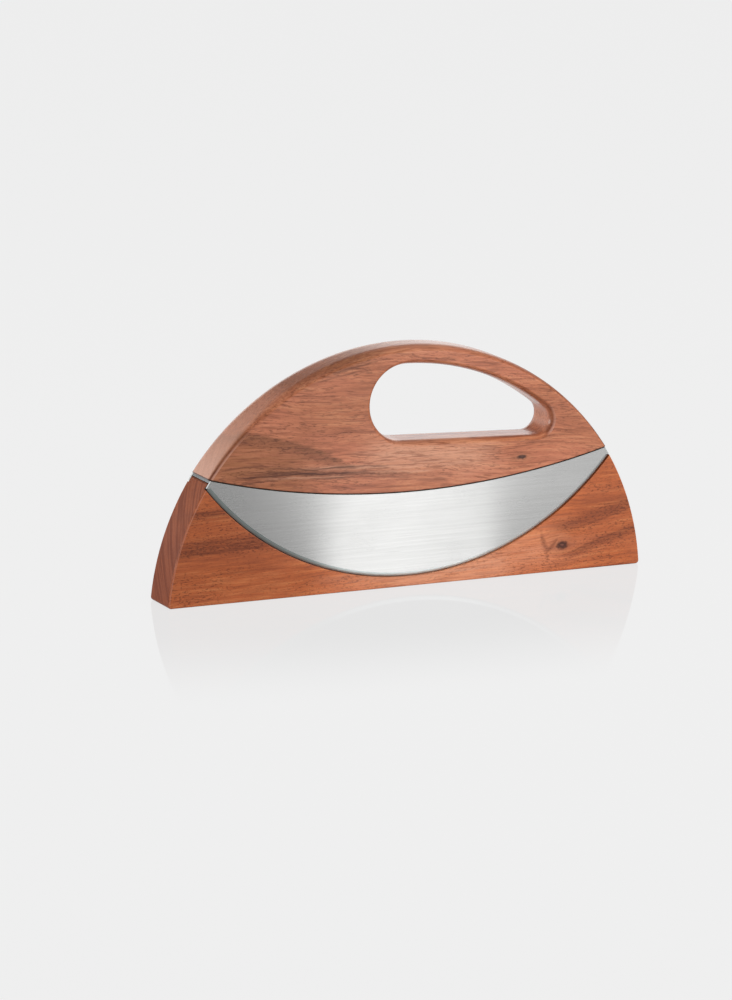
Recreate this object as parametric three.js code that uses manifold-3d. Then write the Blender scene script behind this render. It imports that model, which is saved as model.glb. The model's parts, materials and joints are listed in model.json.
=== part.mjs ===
// Double-bladed mezzaluna resting in its wooden storage block.
// Millimetres. Every piece is drawn in its face plane (x along the length, y up, z to the front),
// and the whole assembly is then stood up: +X right, +Y to the back, +Z up, origin mid-base.

import * as THREE from 'three';
import { mergeVertices } from 'three/addons/utils/BufferGeometryUtils.js';
import Module from 'manifold-3d';

const wasm = await Module();
wasm.setup();

// Half-disc outline shared by block and handle, and the shallow arc that parts them
const bodyDepth = 25;
const blockRadius = 150;
const centreDrop = 12.5; // outline centre below the base
const jointRadius = 490; // arc of the handle's underside
const jointLow = 55.1; // lowest point of that arc above the base

// Storage block
const blockEdgeRound = 1;
const baseCornerRound = 2;
const pocketGap = 0.6; // below the cutting edge
const pocketClearance = 0.4; // behind the blade

// Handle
const handleOverhang = 1; // handle rim beyond the block's rim
const rimDepthAtGrip = 8.5; // rim softening, measured into the thickness
const rimDepthAtTip = 3;
const rimInsetAtGrip = 3.5; // rim softening, measured down the face
const rimInsetAtTip = 2;

// Hand hole: a large round end, a small round end, a bowed top and a straight sill
const holeWideRadius = 22;
const holeNarrowRadius = 9;
const holeTopRadius = 150;
const holeWideAngle = -1.75; // degrees from upright, about the outline centre
const holeNarrowAngle = 38;
const gripThickness = 10.5; // wood above the wide end
const gripEndThickness = 12; // wood beyond the narrow end
const holeEdgeDepth = 6;
const holeEdgeInset = 3;

// Blades and the curved plate that bridges them
const bladeThickness = 1.5;
const cuttingLow = 6.4; // lowest point of the cutting edge above the base
const tipHeight = 4.3; // upright height of the blade's two ends
const bevelWidth = 2.8;
const edgeLand = 0.2; // thickness left at the cutting edge
const tipInset = 0.2; // blade tips inside the block's rim
const tipRound = 1.2;
const bridgeThickness = 1.5;

// Countersunk wood screws that hold the handle down on the bridge
const screwCount = 4;
const screwEndDistance = 23; // outermost screws from the bridge's ends
const screwHeadRadius = 3;
const screwShankRadius = 1.5;
const screwLength = 16;
const screwPointLength = 4;
const screwClearance = 0.3;

// Gaps between seated pieces, and fineness of the facets
const seatGap = 0.3; // handle to bridge
const restGap = 0.3; // bridge to block
const chordError = 0.03;
const softEdgeSteps = 5;
const toolMargin = 5; // how far a cutting tool reaches past the wood

// Places that follow from the sizes above
const halfDepth = bodyDepth / 2;
const handleRadius = blockRadius + handleOverhang;
const jointCentre = jointLow + jointRadius;
const bridgeTopRadius = jointRadius + seatGap;
const bridgeUnderRadius = bridgeTopRadius + bridgeThickness;
const blockTopRadius = bridgeUnderRadius + restGap;
const tipRadius = blockRadius - tipInset;
const bladeEnd = circlesCross(-centreDrop, tipRadius, jointCentre, bridgeTopRadius);
const cuttingRadius = cuttingArcRadius();
const cuttingCentre = cuttingLow + cuttingRadius;
const screwAngles = screwRow();
const screwHeadHeight = screwHeadRadius - screwShankRadius; // ninety-degree countersink

const oiledAcacia = new THREE.MeshStandardMaterial({ color: 0xb87355, roughness: 0.45, metalness: 0 });
const redAcacia = new THREE.MeshStandardMaterial({ color: 0xaa5a38, roughness: 0.45, metalness: 0 });
const brushedSteel = new THREE.MeshStandardMaterial({ color: 0xc4c7c8, roughness: 0.35, metalness: 1 });
const screwSteel = new THREE.MeshStandardMaterial({ color: 0x9a9ca0, roughness: 0.4, metalness: 1 });

// Facets needed on a round stretch so that its chords stay within the chord error
function arcSteps(radius, sweep) {
  const step = 2 * Math.acos(1 - Math.min(chordError / radius, 0.5));
  return Math.max(2, Math.ceil(Math.abs(sweep) / step));
}

function roundSegments(radius) {
  return arcSteps(radius, 2 * Math.PI);
}

function arcPoints(centre, radius, start, end) {
  const steps = arcSteps(radius, end - start);
  return Array.from({ length: steps + 1 }, (unused, i) => {
    const angle = start + ((end - start) * i) / steps;
    return new THREE.Vector2(centre.x + radius * Math.cos(angle), centre.y + radius * Math.sin(angle));
  });
}

// Right-hand crossing of two circles whose centres lie on the upright axis
function circlesCross(lowCentre, lowRadius, highCentre, highRadius) {
  const gap = highCentre - lowCentre;
  const rise = (lowRadius ** 2 - highRadius ** 2 + gap ** 2) / (2 * gap);
  return new THREE.Vector2(Math.sqrt(lowRadius ** 2 - rise ** 2), lowCentre + rise);
}

// The cutting arc runs through its lowest point and the lower corners of the blade's two ends
function cuttingArcRadius() {
  const cornerY = bladeEnd.y - tipHeight;
  const rise = cornerY - cuttingLow;
  const reachSquared = tipRadius ** 2 - (cornerY + centreDrop) ** 2;
  return (reachSquared + rise ** 2) / (2 * rise);
}

// Angles of the screws about the joint arc's centre, evenly spread between the outermost two
function screwRow() {
  const last = Math.asin(bladeEnd.x / bridgeTopRadius) - screwEndDistance / bridgeTopRadius;
  return Array.from({ length: screwCount }, (unused, i) => ((2 * i) / (screwCount - 1) - 1) * last);
}

function angleFrom(centre, point) {
  return Math.atan2(point.y - centre.y, point.x - centre.x);
}

function axisPoint(height) {
  return new THREE.Vector2(0, height);
}

// The same outline stretch on the other side of the upright axis, run the other way
function mirrored(points) {
  return points.map((p) => new THREE.Vector2(-p.x, p.y)).reverse();
}

function solidOf(geometry) {
  geometry.deleteAttribute('normal');
  geometry.deleteAttribute('uv');
  const merged = mergeVertices(geometry);
  const vertProperties = new Float32Array(merged.attributes.position.array);
  const triVerts = new Uint32Array(merged.index.array);
  return new wasm.Manifold(new wasm.Mesh({ numProp: 3, vertProperties, triVerts }));
}

function geometryOf(solid) {
  const mesh = solid.getMesh();
  const geometry = new THREE.BufferGeometry();
  geometry.setAttribute('position', new THREE.BufferAttribute(mesh.vertProperties, 3));
  geometry.setIndex(new THREE.BufferAttribute(mesh.triVerts, 1));
  geometry.computeVertexNormals();
  return geometry;
}

function namedMesh(name, geometry, material) {
  const mesh = new THREE.Mesh(geometry, material);
  mesh.name = name;
  return mesh;
}

// Plate of the given depth, centred on the middle plane, with sharp edges
function plate(points, depth) {
  const geometry = new THREE.ExtrudeGeometry(new THREE.Shape(points), { depth, bevelEnabled: false });
  return solidOf(geometry.translate(0, 0, -depth / 2));
}

// Round bar on an axis across the thickness, with its own radius at each end
function roundBar(height, backRadius, frontRadius, backZ, frontZ) {
  const segments = roundSegments(Math.max(backRadius, frontRadius));
  const geometry = new THREE.CylinderGeometry(frontRadius, backRadius, frontZ - backZ, segments);
  return solidOf(geometry.rotateX(Math.PI / 2).translate(0, height, (backZ + frontZ) / 2));
}

// Everything above or below one arc of the joint, as a tool that overreaches the wood
function besideJointArc(radius, above) {
  const reach = handleRadius + toolMargin;
  const half = Math.asin(reach / radius);
  const arc = arcPoints(axisPoint(jointCentre), radius, -Math.PI / 2 - half, -Math.PI / 2 + half);
  const far = above ? handleRadius + jointLow : -handleRadius - centreDrop - toolMargin;
  const outline = [...arc, new THREE.Vector2(reach, far), new THREE.Vector2(-reach, far)];
  return plate(outline, bodyDepth + 2 * toolMargin);
}

// Plate whose rims roll over from face to wall along a quarter ellipse.
// Each rim point carries its way out of the wood and its own roll depth and inset.
function softEdgedPlate(outerRim, innerRim, depth) {
  const rims = [outerRim, innerRim];
  const perRing = outerRim.length + innerRim.length;
  const ringCount = 2 * (softEdgeSteps + 1);
  const positions = [];
  for (let ring = 0; ring < ringCount; ring += 1) {
    const front = ring <= softEdgeSteps;
    const turn = ((front ? ring : ringCount - 1 - ring) / softEdgeSteps) * (Math.PI / 2);
    for (const p of rims.flat()) {
      const inset = p.inset * (1 - Math.sin(turn));
      const z = depth / 2 - p.depth * (1 - Math.cos(turn));
      positions.push(p.x - p.outX * inset, p.y - p.outY * inset, front ? z : -z);
    }
  }
  const triangles = [];
  for (let ring = 0; ring + 1 < ringCount; ring += 1) {
    let first = ring * perRing;
    for (const rim of rims) {
      for (let i = 0; i < rim.length; i += 1) {
        const a = first + i;
        const b = first + ((i + 1) % rim.length);
        triangles.push(a + perRing, b + perRing, a, b + perRing, b, a);
      }
      first += rim.length;
    }
  }
  const onFace = (p) => new THREE.Vector2(p.x - p.outX * p.inset, p.y - p.outY * p.inset);
  const face = THREE.ShapeUtils.triangulateShape(outerRim.map(onFace), [innerRim.map(onFace)]);
  const backFace = perRing * (ringCount - 1);
  for (const [a, b, c] of face) {
    triangles.push(a, b, c, backFace + c, backFace + b, backFace + a);
  }
  const geometry = new THREE.BufferGeometry();
  geometry.setAttribute('position', new THREE.Float32BufferAttribute(positions, 3));
  geometry.setIndex(triangles);
  return solidOf(geometry);
}

// A roll never takes more than this share of the thickness from one side
function rollDepth(depth) {
  const widestShare = 0.45;
  return Math.min(depth, widestShare * bodyDepth);
}

// The handle's rim: softest over the grip, crisper towards the two tips
function handleRim() {
  const tip = circlesCross(-centreDrop, handleRadius, jointCentre, jointRadius);
  const tipAngle = Math.atan2(tip.x, tip.y + centreDrop);
  const steps = roundSegments(handleRadius);
  return Array.from({ length: steps }, (unused, i) => {
    const lean = ((i + 0.5) / steps) * 2 * Math.PI - Math.PI; // from upright, turning left to begin with
    const softness = Math.cos((Math.min(Math.abs(lean) / tipAngle, 1) * Math.PI) / 2);
    const outX = -Math.sin(lean);
    const outY = Math.cos(lean);
    return {
      x: handleRadius * outX,
      y: handleRadius * outY - centreDrop,
      outX,
      outY,
      depth: rollDepth(THREE.MathUtils.lerp(rimDepthAtTip, rimDepthAtGrip, softness)),
      inset: THREE.MathUtils.lerp(rimInsetAtTip, rimInsetAtGrip, softness),
    };
  });
}

// The hand hole's rim, run clockwise: bowed top, narrow end, sill, wide end
function holeRim() {
  const placed = (radius, wood, degrees) => {
    const reach = handleRadius - wood - radius;
    const lean = THREE.MathUtils.degToRad(degrees);
    return new THREE.Vector2(reach * Math.sin(lean), reach * Math.cos(lean) - centreDrop);
  };
  const wide = placed(holeWideRadius, gripThickness, holeWideAngle);
  const narrow = placed(holeNarrowRadius, gripEndThickness, holeNarrowAngle);
  const span = wide.distanceTo(narrow);
  const along = narrow.clone().sub(wide).divideScalar(span);
  const down = new THREE.Vector2(along.y, -along.x);

  // The bowed top touches both ends from outside, so its centre lies a known way from each of theirs
  const toWide = holeTopRadius - holeWideRadius;
  const toNarrow = holeTopRadius - holeNarrowRadius;
  const run = (toWide ** 2 - toNarrow ** 2 + span ** 2) / (2 * span);
  const drop = Math.sqrt(toWide ** 2 - run ** 2);
  const top = wide.clone().addScaledVector(along, run).addScaledVector(down, drop);

  // The sill is the common tangent below both ends
  const slope = (holeWideRadius - holeNarrowRadius) / span;
  const sill = down.clone().multiplyScalar(Math.sqrt(1 - slope ** 2)).addScaledVector(along, slope);
  const sillAngle = Math.atan2(sill.y, sill.x);
  const wideTop = angleFrom(top, wide);
  const narrowTop = angleFrom(top, narrow);

  // Each stretch starts on the last point of the one before it, but the wide end starts past the sill
  const stretches = [
    { centre: top, radius: holeTopRadius, start: wideTop, end: narrowTop, pastSill: false },
    { centre: narrow, radius: holeNarrowRadius, start: narrowTop, end: sillAngle, pastSill: false },
    { centre: wide, radius: holeWideRadius, start: sillAngle, end: wideTop - 2 * Math.PI, pastSill: true },
  ];
  return stretches.flatMap(({ centre, radius, start, end, pastSill }) => {
    const points = arcPoints(centre, radius, start, end);
    return points.slice(pastSill ? 0 : 1).map((p) => ({
      x: p.x,
      y: p.y,
      outX: (centre.x - p.x) / radius,
      outY: (centre.y - p.y) / radius,
      depth: rollDepth(holeEdgeDepth),
      inset: holeEdgeInset,
    }));
  });
}

// Turned about the joint arc's centre, from the foot of the bridge
function atScrew(geometry, angle) {
  geometry.translate(0, -bridgeUnderRadius, 0);
  geometry.rotateZ(angle);
  return geometry.translate(0, jointCentre, 0);
}

// Room for one screw through the bridge and up into the handle
function screwRoom(angle) {
  const headRoom = screwHeadRadius + screwClearance;
  const shankRoom = screwShankRadius + screwClearance;
  const profile = [
    new THREE.Vector2(0, -restGap),
    new THREE.Vector2(headRoom + restGap, -restGap),
    new THREE.Vector2(shankRoom, screwHeadHeight),
    new THREE.Vector2(shankRoom, screwLength + screwClearance),
    new THREE.Vector2(0, screwLength + screwClearance),
  ];
  const geometry = new THREE.LatheGeometry(profile, roundSegments(screwHeadRadius));
  return solidOf(atScrew(geometry, angle));
}

function storageBlock() {
  const outlineCentre = axisPoint(-centreDrop);
  const shoulder = circlesCross(-centreDrop, blockRadius, jointCentre, blockTopRadius);
  const cornerX = Math.sqrt((blockRadius - baseCornerRound) ** 2 - (baseCornerRound + centreDrop) ** 2);
  const corner = new THREE.Vector2(cornerX, baseCornerRound);
  const cornerEnd = angleFrom(outlineCentre, corner);
  const rightSide = [
    ...arcPoints(corner, baseCornerRound, -Math.PI / 2, cornerEnd).slice(0, -1),
    ...arcPoints(outlineCentre, blockRadius, cornerEnd, angleFrom(outlineCentre, shoulder)),
  ];
  const jointAt = axisPoint(jointCentre);
  const shoulderAngle = angleFrom(jointAt, shoulder);
  const saddle = arcPoints(jointAt, blockTopRadius, shoulderAngle, -Math.PI - shoulderAngle);
  const outline = [...rightSide, ...saddle.slice(1, -1), ...mirrored(rightSide)];
  const geometry = new THREE.ExtrudeGeometry(new THREE.Shape(outline), {
    depth: bodyDepth - 2 * blockEdgeRound,
    bevelThickness: blockEdgeRound,
    bevelSize: blockEdgeRound,
    bevelOffset: -blockEdgeRound,
    bevelSegments: 3,
  });
  const block = solidOf(geometry.translate(0, 0, blockEdgeRound - halfDepth));

  // A round-bottomed pocket in each face takes one blade
  const pocketRadius = cuttingRadius + pocketGap;
  const pocketFloor = halfDepth - bladeThickness - pocketClearance;
  const mouth = halfDepth + toolMargin;
  const frontPocket = roundBar(cuttingCentre, pocketRadius, pocketRadius, pocketFloor, mouth);
  const rearPocket = roundBar(cuttingCentre, pocketRadius, pocketRadius, -mouth, -pocketFloor);
  return geometryOf(block.subtract(frontPocket).subtract(rearPocket));
}

function handle() {
  let wood = softEdgedPlate(handleRim(), holeRim(), bodyDepth);
  wood = wood.subtract(besideJointArc(jointRadius, false));
  for (const angle of screwAngles) {
    wood = wood.subtract(screwRoom(angle));
  }
  return geometryOf(wood);
}

// One crescent blade, lying against the front face
function blade() {
  const cuttingAt = axisPoint(cuttingCentre);
  const outlineAt = axisPoint(-centreDrop);
  const corner = circlesCross(-centreDrop, tipRadius - tipRound, cuttingCentre, cuttingRadius - tipRound);
  const edgeEnd = angleFrom(cuttingAt, corner);
  const tipStart = angleFrom(outlineAt, corner);
  const rightTip = arcPoints(corner, tipRound, edgeEnd, tipStart);
  const outline = [
    ...arcPoints(cuttingAt, cuttingRadius, -Math.PI - edgeEnd, edgeEnd),
    ...rightTip.slice(1),
    ...arcPoints(outlineAt, tipRadius, tipStart, Math.PI - tipStart).slice(1),
    ...mirrored(rightTip).slice(1, -1),
  ];
  const blank = plate(outline, bladeThickness).translate([0, 0, halfDepth - bladeThickness / 2]);

  // The bevel is a cone about the cutting arc's axis, ground on the outer face only
  const outerZ = halfDepth + toolMargin;
  const innerZ = halfDepth - bladeThickness - toolMargin;
  const slope = bevelWidth / (bladeThickness - edgeLand);
  const grindRadius = (z) => cuttingRadius - bevelWidth + slope * (halfDepth - z);
  const grind = roundBar(cuttingCentre, grindRadius(innerZ), grindRadius(outerZ), innerZ, outerZ);
  return geometryOf(blank.intersect(grind).subtract(besideJointArc(bridgeTopRadius, true)));
}

// Curved plate between the blades, drilled and countersunk from below
function bladeBridge() {
  const jointAt = axisPoint(jointCentre);
  const half = Math.asin(blockRadius / jointRadius);
  const underside = arcPoints(jointAt, bridgeUnderRadius, -Math.PI / 2 - half, -Math.PI / 2 + half);
  const topside = arcPoints(jointAt, bridgeTopRadius, -Math.PI / 2 + half, -Math.PI / 2 - half);
  let steel = plate([...underside, ...topside], bodyDepth - 2 * bladeThickness);
  steel = steel.intersect(roundBar(-centreDrop, tipRadius, tipRadius, -bodyDepth, bodyDepth));
  for (const angle of screwAngles) {
    steel = steel.subtract(screwRoom(angle));
  }
  return geometryOf(steel);
}

// Countersunk head at the foot, then the shank and its point
function screw() {
  const profile = [
    new THREE.Vector2(0, 0),
    new THREE.Vector2(screwHeadRadius, 0),
    new THREE.Vector2(screwShankRadius, screwHeadHeight),
    new THREE.Vector2(screwShankRadius, screwLength - screwPointLength),
    new THREE.Vector2(0, screwLength),
  ];
  return geometryOf(solidOf(new THREE.LatheGeometry(profile, roundSegments(screwHeadRadius))));
}

const knife = new THREE.Group();
knife.add(namedMesh('handle', handle(), oiledAcacia));
knife.add(namedMesh('blade_bridge', bladeBridge(), brushedSteel));

const bladeGeometry = blade();
knife.add(namedMesh('front_blade', bladeGeometry, brushedSteel));
const rearBlade = namedMesh('rear_blade', bladeGeometry, brushedSteel);
rearBlade.rotation.y = Math.PI;
knife.add(rearBlade);

const screwGeometry = screw();
screwAngles.forEach((angle, i) => {
  const place = new THREE.Group();
  place.position.y = jointCentre;
  place.rotation.z = angle;
  const fastener = namedMesh(`bridge_screw_${i + 1}`, screwGeometry, screwSteel);
  fastener.position.y = -bridgeUnderRadius;
  place.add(fastener);
  knife.add(place);
});

const mezzaluna = new THREE.Group();
mezzaluna.add(knife);
mezzaluna.add(namedMesh('storage_block', storageBlock(), redAcacia));
mezzaluna.rotation.x = Math.PI / 2;

export default mezzaluna;
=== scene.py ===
import json
import math

import bmesh
import bpy
from mathutils import Matrix, Vector

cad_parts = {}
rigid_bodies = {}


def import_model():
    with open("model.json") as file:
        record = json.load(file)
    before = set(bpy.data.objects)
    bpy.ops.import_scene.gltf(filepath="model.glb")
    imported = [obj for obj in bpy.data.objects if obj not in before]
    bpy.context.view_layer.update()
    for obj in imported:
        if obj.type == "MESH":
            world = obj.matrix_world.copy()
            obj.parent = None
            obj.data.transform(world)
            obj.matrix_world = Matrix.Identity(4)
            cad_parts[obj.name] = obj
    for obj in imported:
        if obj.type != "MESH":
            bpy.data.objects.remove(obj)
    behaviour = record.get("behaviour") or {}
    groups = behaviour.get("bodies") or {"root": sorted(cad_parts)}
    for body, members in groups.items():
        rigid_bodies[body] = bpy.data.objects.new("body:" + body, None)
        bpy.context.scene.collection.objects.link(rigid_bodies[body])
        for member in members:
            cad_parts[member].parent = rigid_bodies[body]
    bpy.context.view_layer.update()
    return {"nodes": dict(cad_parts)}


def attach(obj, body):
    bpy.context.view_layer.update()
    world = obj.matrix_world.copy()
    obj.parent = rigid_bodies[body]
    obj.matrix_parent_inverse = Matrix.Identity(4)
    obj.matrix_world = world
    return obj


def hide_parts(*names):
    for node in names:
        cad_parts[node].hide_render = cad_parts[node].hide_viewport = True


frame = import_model()
print("frame loaded with", len(frame["nodes"]), "nodes")

mm = 0.001  # everything below is written in millimetres
toolReach = 5.0  # how far a cutting tool runs past the wood

# the half disc that handle, blades and block share, and the arc that parts them
outline = {
    "depth": 25.0, "radius": 150.0, "centreDrop": 12.5,
    "jointRadius": 490.0, "jointLow": 55.1, "seatGap": 0.3, "restGap": 0.3,
    "bladeThickness": 1.5, "bridgeThickness": 1.5,
    "tipInset": 0.2, "tipHeight": 4.3, "cuttingLow": 6.4, "pocketGap": 0.6,
}
halfDepth = outline["depth"] / 2
discCentre = -outline["centreDrop"]
jointCentre = outline["jointLow"] + outline["jointRadius"]
bridgeTop = outline["jointRadius"] + outline["seatGap"]
bridgeUnder = bridgeTop + outline["bridgeThickness"]
saddleRadius = bridgeUnder + outline["restGap"]
tipRadius = outline["radius"] - outline["tipInset"]


# small drawing helpers, all in the face plane (x along, z up)

def mixOf(a, b, share):
    return a + (b - a) * share


def easeBetween(low, high, value):
    t = min(max((value - low) / (high - low), 0.0), 1.0)
    return t * t * (3 - 2 * t)


def circlesCross(lowCentre, lowRadius, highCentre, highRadius):
    gap = highCentre - lowCentre
    rise = (lowRadius ** 2 - highRadius ** 2 + gap ** 2) / (2 * gap)
    return math.sqrt(lowRadius ** 2 - rise ** 2), lowCentre + rise


def angleFrom(centre, point):
    return math.atan2(point[1] - centre[1], point[0] - centre[0])


def wayAt(angle, facing=1):
    return facing * math.cos(angle), facing * math.sin(angle)


def arcPoints(centre, radius, start, end, count, facing=1):
    # each point holds x, z and the way out of the piece
    points = []
    for i in range(count + 1):
        angle = start + (end - start) * i / count
        x, z = wayAt(angle)
        points.append((centre[0] + radius * x, centre[1] + radius * z) + wayAt(angle, facing))
    return points


def mitred(point, first, second):
    share = 1 + first[0] * second[0] + first[1] * second[1]
    return (point[0], point[1], (first[0] + second[0]) / share, (first[1] + second[1]) / share)


def mirrored(points):
    return [(-p[0], p[1], -p[2]) + tuple(p[3:]) for p in reversed(points)]


def cuttingArc():
    # through the lowest point and the lower corners of the blade's two ends
    end = circlesCross(discCentre, tipRadius, jointCentre, bridgeTop)
    cornerZ = end[1] - outline["tipHeight"]
    rise = cornerZ - outline["cuttingLow"]
    reachSquared = tipRadius ** 2 - (cornerZ - discCentre) ** 2
    radius = (reachSquared + rise ** 2) / (2 * rise)
    return radius, outline["cuttingLow"] + radius


cuttingRadius, cuttingCentre = cuttingArc()
pocketRadius = cuttingRadius + outline["pocketGap"]


# mesh helpers

def loopVerts(bm, points):
    return [bm.verts.new((x * mm, y * mm, z * mm)) for x, y, z in points]


def skinLoops(bm, loops):
    for near, far in zip(loops, loops[1:]):
        for i in range(len(near)):
            j = (i + 1) % len(near)
            bm.faces.new((near[i], near[j], far[j], far[i]))


def capLoops(bm, loops):
    edges = []
    for loop in loops:
        edges += [bm.edges.get((a, b)) for a, b in zip(loop, loop[1:] + loop[:1])]
    bmesh.ops.triangle_fill(bm, use_beauty=True, use_dissolve=False, edges=edges)


def pieceFrom(bm, name):
    bmesh.ops.recalc_face_normals(bm, faces=bm.faces)
    mesh = bpy.data.meshes.new(name)
    bm.to_mesh(mesh)
    bm.free()
    piece = bpy.data.objects.new(name, mesh)
    bpy.context.scene.collection.objects.link(piece)
    return piece


def lofted(name, rings, bowed=False):
    # bowed ends are filled with triangles, plain ones with a single face
    bm = bmesh.new()
    loops = [loopVerts(bm, ring) for ring in rings]
    skinLoops(bm, loops)
    for loop in (loops[0], loops[-1]):
        if bowed:
            capLoops(bm, [loop])
        else:
            bm.faces.new(loop)
    return pieceFrom(bm, name)


def rolledPlate(name, rims, steps):
    # each rim point holds x, z, the way out of the wood, and how far its roll goes in and back
    bm = bmesh.new()
    rings = []
    for level in range(2 * steps + 2):
        front = level <= steps
        turn = (level if front else 2 * steps + 1 - level) / steps * math.pi / 2
        ring = []
        for rim in rims:
            points = []
            for x, z, outX, outZ, inset, depth in rim:
                back = inset * (1 - math.sin(turn))
                y = halfDepth - depth * (1 - math.cos(turn))
                points.append((x - outX * back, -y if front else y, z - outZ * back))
            ring.append(loopVerts(bm, points))
        rings.append(ring)
    for near, far in zip(rings, rings[1:]):
        for pair in zip(near, far):
            skinLoops(bm, pair)
    capLoops(bm, rings[0])
    capLoops(bm, rings[-1])
    return pieceFrom(bm, name)


def ringPoints(row):
    # one radius and height for each step round the axis
    points = []
    for i, (radius, height) in enumerate(row):
        x, y = wayAt(2 * math.pi * i / len(row))
        points.append((radius * x, radius * y, height))
    return points


def turned(name, profile, segments):
    # profile runs from axis to axis as (radius, height)
    bm = bmesh.new()
    rings = [loopVerts(bm, ringPoints([row] * segments)) for row in profile[1:-1]]
    skinLoops(bm, rings)
    for ring, height in ((rings[0], profile[0][1]), (rings[-1], profile[-1][1])):
        centre = bm.verts.new((0, 0, height * mm))
        for i in range(segments):
            bm.faces.new((ring[i], ring[(i + 1) % segments], centre))
    return pieceFrom(bm, name)


def carve(piece, tools):
    for tool in tools:
        cut = piece.modifiers.new("cut", "BOOLEAN")
        cut.operation = "DIFFERENCE"
        cut.solver = "EXACT"
        cut.object = tool
    bpy.context.view_layer.update()
    graph = bpy.context.evaluated_depsgraph_get()
    carved = bpy.data.meshes.new_from_object(piece.evaluated_get(graph))
    carved.name = piece.name
    piece.modifiers.clear()
    piece.data = carved
    weld = 1e-6
    bm = bmesh.new()
    bm.from_mesh(carved)
    bmesh.ops.remove_doubles(bm, verts=bm.verts, dist=weld)
    bmesh.ops.dissolve_degenerate(bm, edges=bm.edges, dist=weld)
    bm.to_mesh(carved)
    bm.free()
    for tool in tools:
        bpy.data.objects.remove(tool)


def smoothed(piece, sharpDegrees):
    piece.data.shade_smooth()
    piece.data.set_sharp_from_angle(angle=math.radians(sharpDegrees))
    weighted = piece.modifiers.new("even normals", "WEIGHTED_NORMAL")
    weighted.keep_sharp = True
    weighted.weight = 80


def placed(piece, node, body, material, sharpDegrees):
    smoothed(piece, sharpDegrees)
    piece.data.materials.clear()
    piece.data.materials.append(material)
    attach(piece, body)
    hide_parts(node)


# shader helpers

class Wire:
    # a node's output that sums can be written with, for numbers and vectors alike
    def __init__(self, tree, socket):
        self.tree = tree
        self.socket = socket

    def __add__(self, other):
        return calc("ADD", self, other)

    def __sub__(self, other):
        return calc("SUBTRACT", self, other)

    def __rsub__(self, other):
        return calc("SUBTRACT", other, self)

    def __mul__(self, other):
        return calc("MULTIPLY", self, other)

    def __truediv__(self, other):
        return calc("DIVIDE", self, other)

    def __abs__(self):
        return calc("ABSOLUTE", self)


def treeOf(values):
    return next(value.tree for value in values if isinstance(value, Wire))


def feed(sockets, values):
    for label, value in values.items():
        if isinstance(value, Wire):
            value.tree.links.new(value.socket, sockets[label])
        else:
            sockets[label].default_value = value


def newNode(tree, kind, values, output=0, **settings):
    node = tree.nodes.new("ShaderNode" + kind)
    for name, setting in settings.items():
        setattr(node, name, setting)
    feed(node.inputs, values)
    return Wire(tree, node.outputs[output])


def calc(operation, *values, clamp=False):
    wires = [value for value in values if isinstance(value, Wire)]
    inputs = dict(enumerate(values))
    if wires[0].socket.type == "VECTOR":
        return newNode(wires[0].tree, "VectorMath", inputs, operation=operation)
    return newNode(wires[0].tree, "Math", inputs, operation=operation, use_clamp=clamp)


def largest(*wires):
    top = wires[0]
    for wire in wires[1:]:
        top = calc("MAXIMUM", top, wire)
    return top


def lengthOf(vector):
    return newNode(vector.tree, "VectorMath", {0: vector}, "Value", operation="LENGTH")


def splitUp(vector):
    node = vector.tree.nodes.new("ShaderNodeSeparateXYZ")
    feed(node.inputs, {0: vector})
    return [Wire(vector.tree, socket) for socket in node.outputs]


def joinUp(*parts):
    return newNode(treeOf(parts), "CombineXYZ", dict(enumerate(parts)))


def reachFrom(place, centre):
    # distance from an axis that runs through the thickness
    return lengthOf((place - (0.0, 0.0, centre)) * (1.0, 0.0, 1.0))


def noiseAt(vector, stretch, detail=2.0, roughness=0.5):
    return newNode(vector.tree, "TexNoise", {
        "Vector": vector * stretch, "Scale": 1.0, "Detail": detail, "Roughness": roughness})


def easeAt(value, low, high, start=0.0, end=1.0):
    return newNode(value.tree, "MapRange", {
        "Value": value, "From Min": low, "From Max": high, "To Min": start, "To Max": end},
        interpolation_type="SMOOTHSTEP")


def fadeAt(value, low, high):
    return easeAt(value, low, high, 1.0, 0.0)


def tint(code):
    parts = [int(code[i:i + 2], 16) / 255 for i in (1, 3, 5)]
    linear = [c / 12.92 if c <= 0.04045 else ((c + 0.055) / 1.055) ** 2.4 for c in parts]
    return tuple(linear) + (1.0,)


def grey(level):
    return (level, level, level, 1.0)


def rampOf(value, stops):
    node = value.tree.nodes.new("ShaderNodeValToRGB")
    elements = node.color_ramp.elements
    while len(elements) < len(stops):
        elements.new(0.5)
    for element, (position, code) in zip(elements, stops):
        element.position = position
        element.color = tint(code)
    feed(node.inputs, {0: value})
    return Wire(value.tree, node.outputs[0])


def layered(colour, look, layers):
    for share, toneName in layers:
        values = {0: share, 6: colour, 7: tint(look[toneName])}
        colour = newNode(share.tree, "Mix", values, 2, data_type="RGBA")
    return colour


def bumpFrom(height, distance, strength):
    return newNode(height.tree, "Bump", {
        "Strength": strength, "Distance": distance * mm, "Height": height})


def newGroup(name, resultsFrom, vectors, numbers=()):
    tree = bpy.data.node_groups.new(name, "ShaderNodeTree")
    for kind, labels in (("Vector", vectors), ("Float", numbers)):
        for label in labels:
            tree.interface.new_socket(label, in_out="INPUT", socket_type="NodeSocket" + kind)
    given = tree.nodes.new("NodeGroupInput").outputs
    results = resultsFrom({socket.name: Wire(tree, socket) for socket in given})
    for label in results:
        tree.interface.new_socket(label, in_out="OUTPUT", socket_type="NodeSocketFloat")
    feed(tree.nodes.new("NodeGroupOutput").inputs, results)
    return tree


def useGroup(group, values):
    tree = treeOf(values.values())
    node = tree.nodes.new("ShaderNodeGroup")
    node.node_tree = group
    feed(node.inputs, values)
    return {socket.name: Wire(tree, socket) for socket in node.outputs}


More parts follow.
